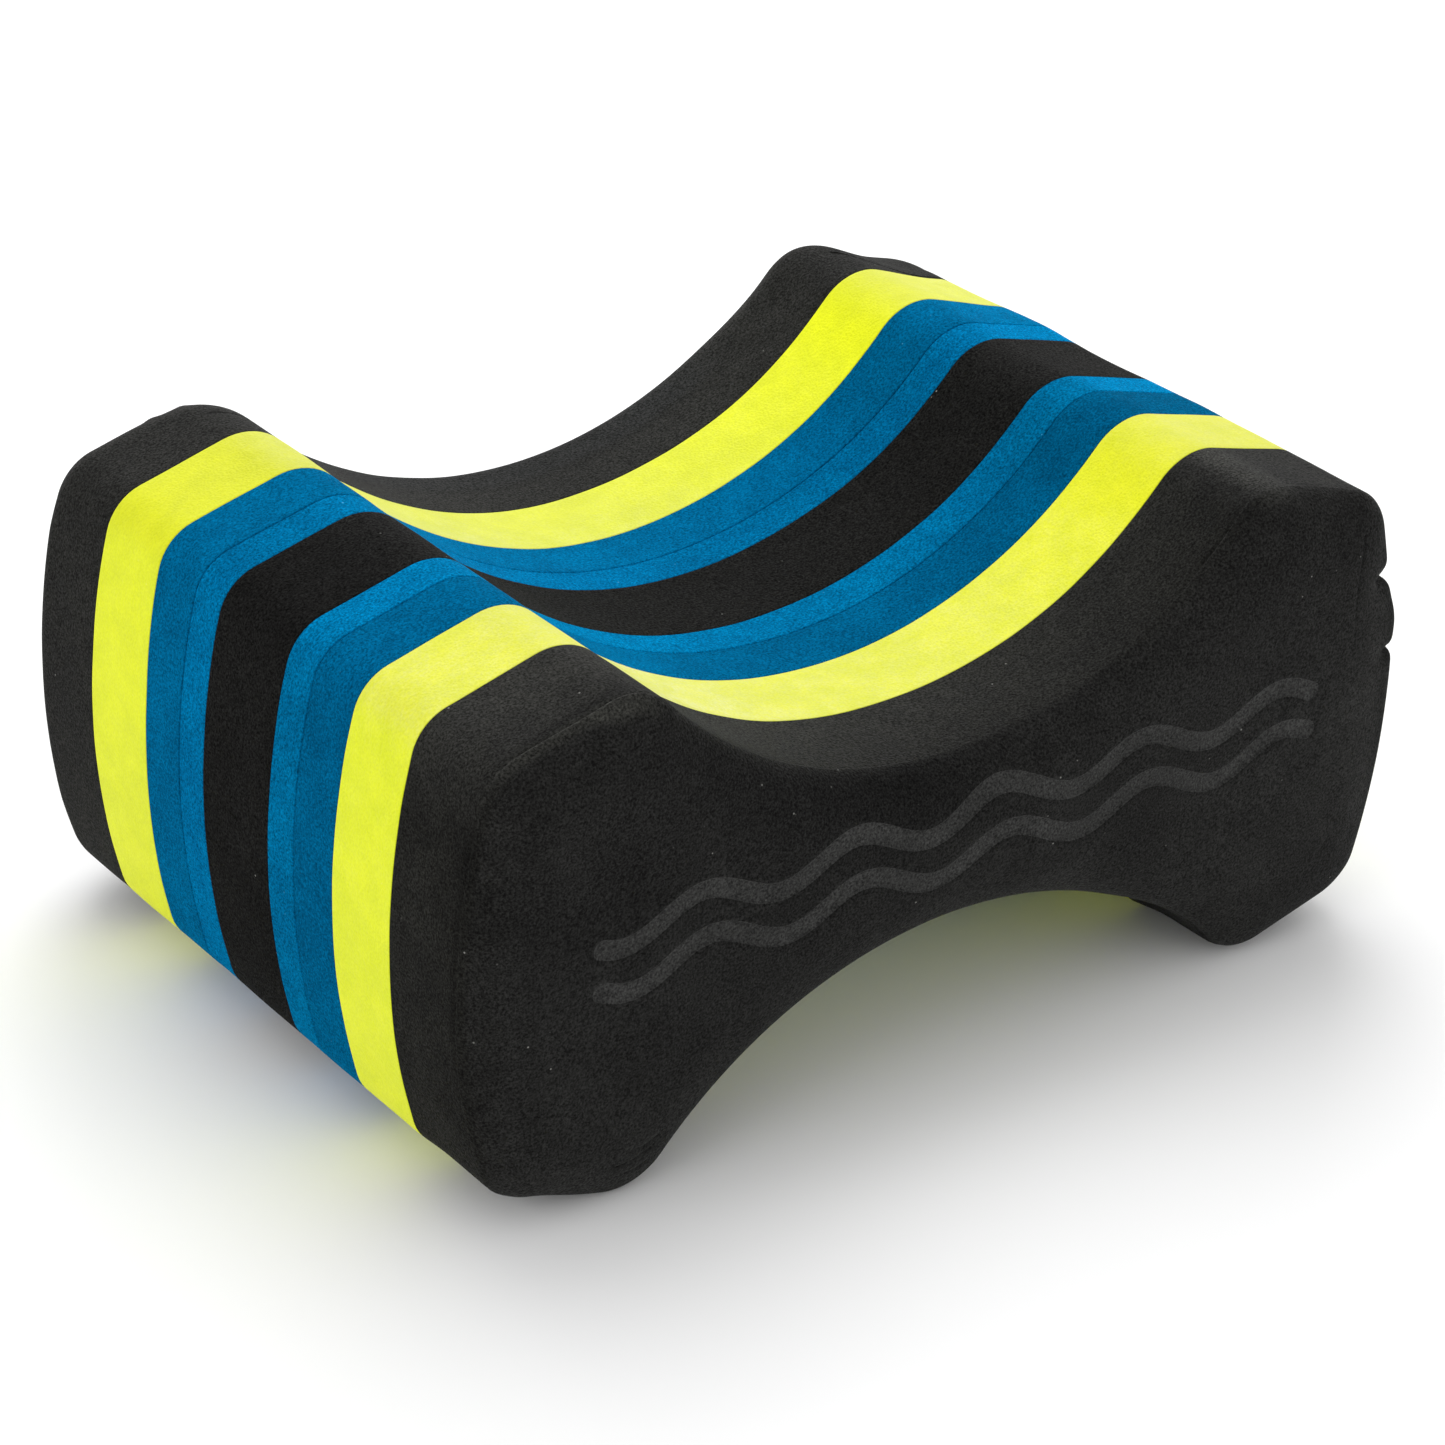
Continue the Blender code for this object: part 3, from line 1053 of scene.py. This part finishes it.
def front_skin(mat, x):
    """0 on the cut side and 1 on the darker skin past the crease. The skin's darkness is partly its
    own smoother finish and partly painted shade, as it faces away from the light above.
    """
    # on the left ridge the painted light of the cut side runs past the crease; on the slope by it,
    # it stops short
    beyond = mat.minus(
        mat.ramp(x, (-0.090, -0.080), (0.9, 2.9)), mat.ramp(x, (-0.074, -0.066), (0.0, 5.8))
    )
    beyond = mat.plus(beyond, mat.ramp(x, (-0.056, -0.034), (0.0, 2.3)))
    past = mat.plus(mat.minus(mat.rim(), beyond), mat.wobble(scale=70.0, size=1.2))
    past = mat.times(
        past,
        mat.ramp(x, (0.020, 0.050), (1.0, 0.5)),
        mat.ramp(x, (0.076, 0.086), (1.0, 0.9)),
    )
    return mat.ramp(past, (0.3, 2.4), (0.0, 1.0))


def front_field(mat, x, z, away):
    """Level of the free face."""
    # painted shadow under the upper rim in the saddle, mostly on its left part
    rim_shadow = mat.times(
        mat.ramp(away, (0.055, 0.085), (1.0, 0.0)),
        mat.ramp(z, (0.045, 0.062), (0.0, 1.0)),
        mat.ramp(mat.rim(), (2.0, 24.0), (0.40, 0.0)),
        mat.ramp(x, (-0.012, 0.022), (1.0, 0.22)),
    )
    return mat.times(
        mat.ramp(mat.noise(26.0), (0.35, 0.65), (0.86, 1.12)),
        mat.lowered(rim_shadow),
        # lighter low down, on the right half and by the left end
        mat.ramp(z, (0.000, 0.040), (1.22, 1.0)),
        mat.ramp(x, (0.010, 0.036), (1.0, 1.18)),
        mat.ramp(x, (-0.1140, -0.103), (1.30, 1.0)),
        *(mat.spot(*spot) for spot in FRONT_SPOTS),
    )


def front_shadow(mat, x, z):
    """Shadow held by the hollows along the crease."""
    left_end = mat.times(
        mat.ramp(x, (-0.110, -0.106), (1.0, 0.0)),
        mat.ramp(mat.from_rim(-0.75), (0.2, 2.1), (0.28, 0.0)),
        mat.ramp(z, (0.030, 0.040), (0.0, 1.0)),
        mat.ramp(z, (0.083, 0.092), (1.0, 0.0)),
    )
    # the foot of the rim down the left of the saddle, and the groove atop the left facet
    foot = mat.times(
        mat.profile(x, *FOOT_SHADOW), mat.ramp(mat.from_rim(-0.4), (0.6, 5.0), (1.0, 0.0))
    )
    groove = mat.times(
        mat.window(x, rise=(-0.100, -0.092), fall=(-0.080, -0.074)),
        mat.ramp(mat.from_rim(-1.7), (0.3, 1.6), (0.30, 0.0)),
    )
    return mat.times(mat.lowered(left_end), mat.lowered(foot), mat.lowered(groove))


def front_tone(mat, shade, colour):
    x, z, rim = mat.axis("X"), mat.axis("Z"), mat.rim()
    away = mat.math("ABSOLUTE", x)
    colour = mat.scaled(colour, front_side(mat, x, z, away, rim))
    colour = mat.scaled(colour, front_lip_light(mat, x, rim))
    face = mat.mix(shade, srgb(25, 25, 24), srgb(32, 32, 31))
    face = mat.scaled(face, front_field(mat, x, z, away))
    colour = mat.mix(front_skin(mat, x), colour, face)
    return mat.scaled(colour, front_shadow(mat, x, z))


# ---------------------------------------------------------------- tones of the other plates
# Levels along X, each a place in millimetres and a level. They are painted light and shade: a plate
# is lighter or darker where its saddle, ridges, facets and ends catch more or less light.
REAR_BLACK = (
    (-112.5, 1.32), (-107, 0.88), (-95, 0.95), (-62, 0.76), (-45, 0.80), (-20, 0.94),
    (40, 0.93), (68, 0.86), (76, 0.92), (82, 0.60), (100, 0.76),
)
CENTRE_BLACK = (
    (-112.5, 0.98), (-106, 0.66), (-92, 0.72), (-82, 1.0), (-66, 1.02), (-52, 1.13),
    (-34, 1.04), (30, 1.03), (56, 0.97), (68, 0.94), (78, 1.1), (88, 1.1), (98, 1.4),
)
FRONT_BLUE = (
    (-112, 0.84), (-105, 1.02), (-70, 1.04), (-48, 1.18), (-20, 1.03), (30, 1.0),
    (54, 0.90), (66, 0.76), (100, 0.80),
)
REAR_BLUE = (
    (-112, 0.95), (-105, 1.06), (-80, 1.06), (-55, 1.42), (-25, 1.3), (0, 1.22),
    (40, 1.2), (64, 0.90), (78, 1.05), (88, 1.3),
)
FRONT_LIGHT_BLUE = (
    (-112, 0.77), (-105, 1.0), (-96, 1.12), (-30, 1.12), (0, 1.04), (20, 0.97),
    (50, 0.94), (64, 0.76), (78, 0.82), (86, 1.2),
)
REAR_LIGHT_BLUE = (
    (-112, 1.0), (-90, 1.0), (-70, 1.2), (-50, 1.32), (-20, 1.26), (12, 1.06),
    (45, 1.0), (64, 0.91), (78, 1.15), (86, 1.4),
)
FRONT_YELLOW = (
    (-90, 1.0), (-80, 0.94), (-66, 0.97), (-40, 1.03), (0, 1.02), (56, 1.08), (66, 1.08),
    (80, 0.92),
)
REAR_YELLOW = (
    (-90, 1.0), (-80, 0.92), (-66, 0.95), (-40, 1.02), (6, 1.07), (48, 1.16), (66, 1.22),
    (80, 0.98),
)
# painted sheen: how whitish the up-facing yellow turns, as a factor on its blue channel
FRONT_PAINTED_SHEEN = (
    (-102, 2.3), (-92, 2.0), (-72, 2.7), (-54, 5.2), (-38, 4.3), (-14, 2.45), (6, 2.3),
    (30, 1.9), (54, 1.3), (66, 0.35), (78, 1.1), (86, 1.9),
)
REAR_PAINTED_SHEEN = (
    (-100, 0.50), (-86, 0.60), (-74, 3.0), (-54, 4.4), (-36, 5.2), (-14, 3.2), (6, 3.1),
    (30, 1.8), (56, 0.80), (66, 0.05), (78, 1.2), (88, 3.0), (98, 4.2),
)


def rear_tone(mat, shade, colour):
    """A darker band, painted shade of a crease, runs parallel to the glue line; the foam past it is
    smoother, cooler.
    """
    x = mat.axis("X")
    away = mat.math("ABSOLUTE", x)
    end_colour = mat.mix(shade, srgb(28, 28, 27), srgb(34, 34, 32))
    colour = mat.mix(mat.times(mat.flank(), 0.9), colour, end_colour)
    past = mat.plus(mat.rim(), mat.wobble(scale=60.0, size=2.0))
    cool = mat.times(
        mat.ramp(past, (-9.0, -5.5), (0.0, 0.8)), mat.ramp(away, (0.036, 0.060), (1.0, 0.0))
    )
    colour = mat.mix(cool, colour, mat.mix(shade, srgb(33, 34, 34), srgb(39, 40, 40)))
    crease_shade = mat.times(
        mat.window(past, rise=(-10.2, -8.6), fall=(-8.2, -6.2)),
        mat.ramp(away, (0.036, 0.060), (0.30, 0.0)),
    )
    colour = mat.mix(crease_shade, colour, srgb(22, 22, 21))
    # painted light and shade: lighter up the right-hand slope, darker on the facet past it, and the
    # levels along X
    slope = mat.times(
        mat.ramp(x, (0.010, 0.040), (1.0, 1.24)), mat.ramp(x, (0.060, 0.080), (1.0, 0.72))
    )
    return mat.scaled(colour, mat.times(slope, mat.profile(x, *REAR_BLACK)))


def centre_tone(mat, shade, colour):
    """Painted light and shade: palest in the left of the saddle, on the right-hand ridge and facet,
    and low down.
    """
    level = mat.profile(mat.axis("X"), *CENTRE_BLACK)
    low = mat.ramp(mat.axis("Z"), (0.010, 0.024), (1.25, 1.0))
    return mat.scaled(colour, mat.times(level, low))


def along(stops):
    """A tone that only changes the level along X, painting light and shade."""

    def tone(mat, shade, colour):
        return mat.scaled(colour, mat.profile(mat.axis("X"), *stops))

    return tone


# painted sheen on the front yellow plate's up-facing faces
def front_painted_sheen(mat, x):
    return mat.profile(x, *FRONT_PAINTED_SHEEN)


def rear_painted_sheen(mat, x):
    """Painted sheen; on the saddle it is also paler towards the front."""
    across = mat.ramp(mat.axis("Y"), (0.034, 0.050), (1.32, 0.70), smooth=False)
    on_saddle = mat.window(x, rise=(-0.070, -0.058), fall=(0.034, 0.052))
    across = mat.raised(on_saddle, mat.minus(across, 1.0))
    return mat.times(across, mat.profile(x, *REAR_PAINTED_SHEEN))


def yellow_tone(top_low, top_high, levels, pale):
    """Painted light: faces that look up take a separate, slightly darker colour, and pale(mat, x)
    says where they turn whitish, a painted sheen.
    """

    def tone(mat, shade, colour):
        x = mat.axis("X")
        facing = mat.ramp(mat.facing_up(), (0.15, 0.75), (0.0, 1.0))
        top = mat.scaled(mat.mix(shade, top_low, top_high), mat.profile(x, *levels))
        colour = mat.mix(facing, colour, mat.blue_scaled(top, pale(mat, x)))
        patches = mat.noise(210.0, detail=3.0, rough=0.6)
        grains = mat.noise(1500.0, rough=0.6)
        spots = mat.times(
            mat.ramp(patches, (0.35, 0.65), (0.78, 1.22)),
            mat.ramp(grains, (0.35, 0.65), (0.66, 1.34)),
        )
        return mat.blue_scaled(colour, spots)

    return tone


# ---------------------------------------------------------------- materials
PALE_DUST = srgb(165, 165, 160)
GREY_SHEEN = (1.0, 1.0, 0.97, 1.0)
YELLOW_FOAM = dict(
    grain=0.04, pores=0.03, roughness=0.62, specular=0.14, specks=0.2,
    speck_colour=srgb(250, 250, 190), sheen=0.10, sheen_tint=(1.0, 1.0, 0.75, 1.0),
)
BLUE_SHINE = dict(
    roughness=0.85, specular=0.004, specks=0.5, sheen=0.06, sheen_tint=(0.0, 0.62, 1.0, 1.0)
)
BLUE_FOAM = dict(
    low=srgb(0, 86, 128), high=srgb(0, 98, 143), grain=0.42, pores=0.20,
    speck_colour=srgb(110, 185, 210), **BLUE_SHINE,
)
LIGHT_BLUE_FOAM = dict(
    grain=0.46, pores=0.22, speck_colour=srgb(120, 195, 220), **BLUE_SHINE
)

front_black = foam(
    "foam_black_front", low=srgb(36, 36, 34), high=srgb(45, 45, 42), grain=0.62, pores=0.30,
    roughness=0.80, specular=0.06, specks=0.6, speck_colour=PALE_DUST, tone=front_tone,
    sheen=0.03, sheen_tint=GREY_SHEEN, matte=0.75,
)
rear_black = foam(
    "foam_black_rear", low=srgb(33, 33, 31), high=srgb(40, 40, 38), grain=0.62, pores=0.28,
    roughness=0.80, specular=0.06, specks=0.5, speck_colour=PALE_DUST, tone=rear_tone,
    sheen=0.02, sheen_tint=GREY_SHEEN, matte=0.6,
)
pressed_black = foam(
    "foam_black_pressed", low=srgb(47, 47, 46), high=srgb(56, 56, 55), grain=0.55, pores=0.24,
    roughness=0.70, specular=0.08, specks=0.2, speck_colour=PALE_DUST,
)
centre_black = foam(
    "foam_black_centre", low=srgb(22, 22, 21), high=srgb(27, 27, 26), grain=0.70, pores=0.32,
    roughness=0.90, specular=0.03, specks=0.7, speck_colour=PALE_DUST, tone=centre_tone,
    sheen=0.01, sheen_tint=GREY_SHEEN, matte=0.6,
)
# the second pair of yellow colours is painted light, for faces that look up
front_yellow = foam(
    "foam_yellow_front", low=srgb(220, 229, 32), high=srgb(229, 236, 42),
    tone=yellow_tone(srgb(219, 223, 48), srgb(228, 230, 60), FRONT_YELLOW, front_painted_sheen),
    **YELLOW_FOAM,
)
rear_yellow = foam(
    "foam_yellow_rear", low=srgb(218, 226, 25), high=srgb(227, 234, 34),
    tone=yellow_tone(srgb(212, 217, 30), srgb(221, 225, 40), REAR_YELLOW, rear_painted_sheen),
    **YELLOW_FOAM,
)
front_blue = foam("foam_blue_front", tone=along(FRONT_BLUE), **BLUE_FOAM)
rear_blue = foam("foam_blue_rear", tone=along(REAR_BLUE), **BLUE_FOAM)
front_light_blue = foam(
    "foam_light_blue_front", low=srgb(0, 103, 151), high=srgb(0, 117, 167),
    tone=along(FRONT_LIGHT_BLUE), **LIGHT_BLUE_FOAM,
)
rear_light_blue = foam(
    "foam_light_blue_rear", low=srgb(0, 93, 139), high=srgb(0, 106, 154),
    tone=along(REAR_LIGHT_BLUE), **LIGHT_BLUE_FOAM,
)


def glue():
    mat = Material("glue_film")
    shade = mat.ramp(mat.noise(300.0, detail=3.0), (0.35, 0.65), (0.0, 1.0))
    mat.put("Base Color", mat.mix(shade, srgb(8, 34, 48), srgb(16, 52, 70)))
    mat.put("Roughness", mat.ramp(mat.noise(900.0), (0.3, 0.7), (0.45, 0.65)))
    mat.put("Normal", mat.bump(mat.noise(1200.0), distance=0.00003, strength=0.6))
    return mat.material


glue_material = glue()

# ---------------------------------------------------------------- pieces
# from front to rear: CAD node, materials, slot
PLATES = (
    ("front_black_slab", [front_black, pressed_black], "foam_black"),
    ("front_yellow_plate", [front_yellow], "foam_yellow"),
    ("front_blue_plate", [front_blue], "foam_blue"),
    ("front_thin_blue_plate", [front_light_blue], "foam_light_blue"),
    ("centre_black_plate", [centre_black], "foam_black"),
    ("rear_thin_blue_plate", [rear_light_blue], "foam_light_blue"),
    ("rear_blue_plate", [rear_blue], "foam_blue"),
    ("rear_yellow_plate", [rear_yellow], "foam_yellow"),
    ("rear_black_slab", [rear_black], "foam_black"),
)


def hand_over(piece, node):
    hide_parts(node)
    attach(piece, "root")


for index, (node, materials, slot) in enumerate(PLATES):
    outer = index in (0, len(PLATES) - 1)
    shell = slab(front=index == 0) if outer else plate(index)
    hand_over(shell.object(node + "_foam", materials), node)

for index, node in enumerate(FILMS):
    hand_over(film(index).object(node + "_line", [glue_material]), node)


# ---------------------------------------------------------------- floor, light and camera
def floor():
    """A floor that bends up into a wall behind the buoy."""
    half_size, wall_start, bend, high = 3.0, 1.2, 0.6, 2.2
    profile = [(-half_size, 0.0), (wall_start, 0.0)]
    for i in range(1, 9):
        angle = i * pi / 16
        profile.append((wall_start + bend * sin(angle), bend * (1 - cos(angle))))
    profile.append((wall_start + bend, high))
    points = [(x, y, z) for y, z in profile for x in (-half_size, half_size)]
    faces = [(2 * i, 2 * i + 1, 2 * i + 3, 2 * i + 2) for i in range(len(profile) - 1)]
    mesh = bpy.data.meshes.new("floor")
    mesh.from_pydata(points, [], faces)
    mesh.shade_smooth()
    obj = bpy.data.objects.new("floor", mesh)
    bpy.context.scene.collection.objects.link(obj)
    obj.location.z = cad_low[2]
    mat = Material("floor")
    mat.put("Base Color", mat.mix(mat.noise(3.0), srgb(248, 248, 248), srgb(251, 251, 251)))
    mat.put("Roughness", 0.9)
    mat.put("Specular IOR Level", 0.1)
    mesh.materials.append(mat.material)


def area(name, place, size, power):
    """A rectangular light aimed at the buoy."""
    light = bpy.data.lights.new(name, "AREA")
    light.shape = "RECTANGLE"
    light.size, light.size_y = size
    light.energy = power
    obj = bpy.data.objects.new(name, light)
    bpy.context.scene.collection.objects.link(obj)
    obj.location = place
    aim = Vector((0, 0, 0.05))
    obj.rotation_euler = (aim - Vector(place)).to_track_quat("-Z", "Y").to_euler()


def studio():
    """White surroundings and a plain view transform."""
    world = bpy.data.worlds.new("studio")
    world.use_nodes = True
    background = world.node_tree.nodes["Background"]
    background.inputs["Color"].default_value = (1, 1, 1, 1)
    background.inputs["Strength"].default_value = 0.68
    bpy.context.scene.world = world
    view = bpy.context.scene.view_settings
    view.view_transform = "Standard"
    view.look = "None"
    view.exposure = 0.0
    view.gamma = 1.0


def camera():
    """Looks down on the buoy from the front left."""
    data = bpy.data.cameras.new("camera")
    data.sensor_width = 36.0
    data.lens = 109.45
    data.clip_start, data.clip_end = 0.05, 20.0
    obj = bpy.data.objects.new("camera", data)
    bpy.context.scene.collection.objects.link(obj)
    place = (-0.48713, -0.63882, 0.47502)
    right = (0.80346, -0.59459, 0.03020)
    up = (0.26093, 0.39728, 0.87982)
    back = (-0.53513, -0.69902, 0.47435)
    turn = Matrix((right, up, back)).transposed().to_4x4()
    obj.matrix_world = Matrix.Translation(place) @ turn
    bpy.context.scene.camera = obj


floor()
area("key", place=(0.30, 0.60, 1.45), size=(1.3, 1.3), power=13.5)
area("back", place=(0.95, 1.25, 0.85), size=(1.0, 0.7), power=8.0)
area("left", place=(-1.5, -0.1, 0.75), size=(1.2, 1.0), power=6.0)
area("front", place=(0.5, -1.6, 0.7), size=(1.4, 0.9), power=3.0)
studio()
camera()
